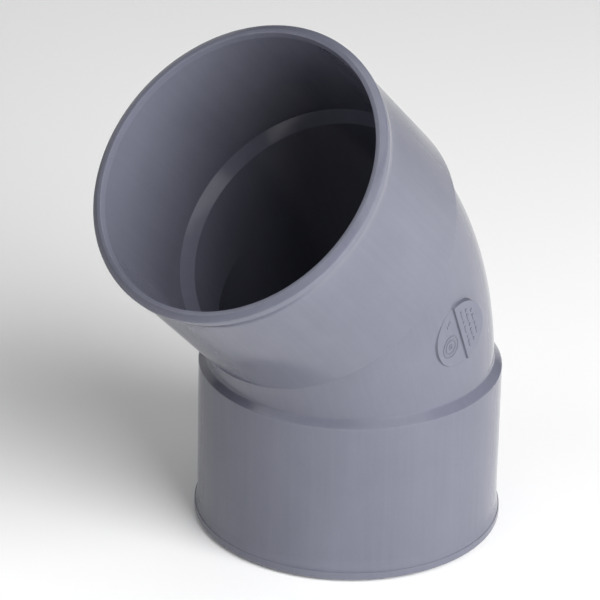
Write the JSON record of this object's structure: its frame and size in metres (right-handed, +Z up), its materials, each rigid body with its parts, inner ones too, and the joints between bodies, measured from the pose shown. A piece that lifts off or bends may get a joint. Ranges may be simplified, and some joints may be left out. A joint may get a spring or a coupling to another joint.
{
  "type": "pipe elbow",
  "caption": "Pipe elbow that turns a pipe run through 45 degrees, with a plain solvent-weld socket at each end, a beaded rim round each mouth and a flat marking pad on the bend.",
  "frame": {"origin": "centre of the fitting's footprint, on the plane that the lower mouth stands on", "axes": "+Z up along the axis of the lower socket; -X towards the side that the upper socket leans to; +Y square to the plane of the bend, on the side away from the marking pad"},
  "size_m": [0.156, 0.1094, 0.1914],
  "materials": {
    "pvc": "smooth moulded grey PVC-U, satin gloss"
  },
  "bodies": {
    "root": {"lower_socket": "pvc", "lower_rim": "pvc", "bend": "pvc", "marking_pad": "pvc", "upper_socket": "pvc", "upper_rim": "pvc"}
  },
  "joints": []
}
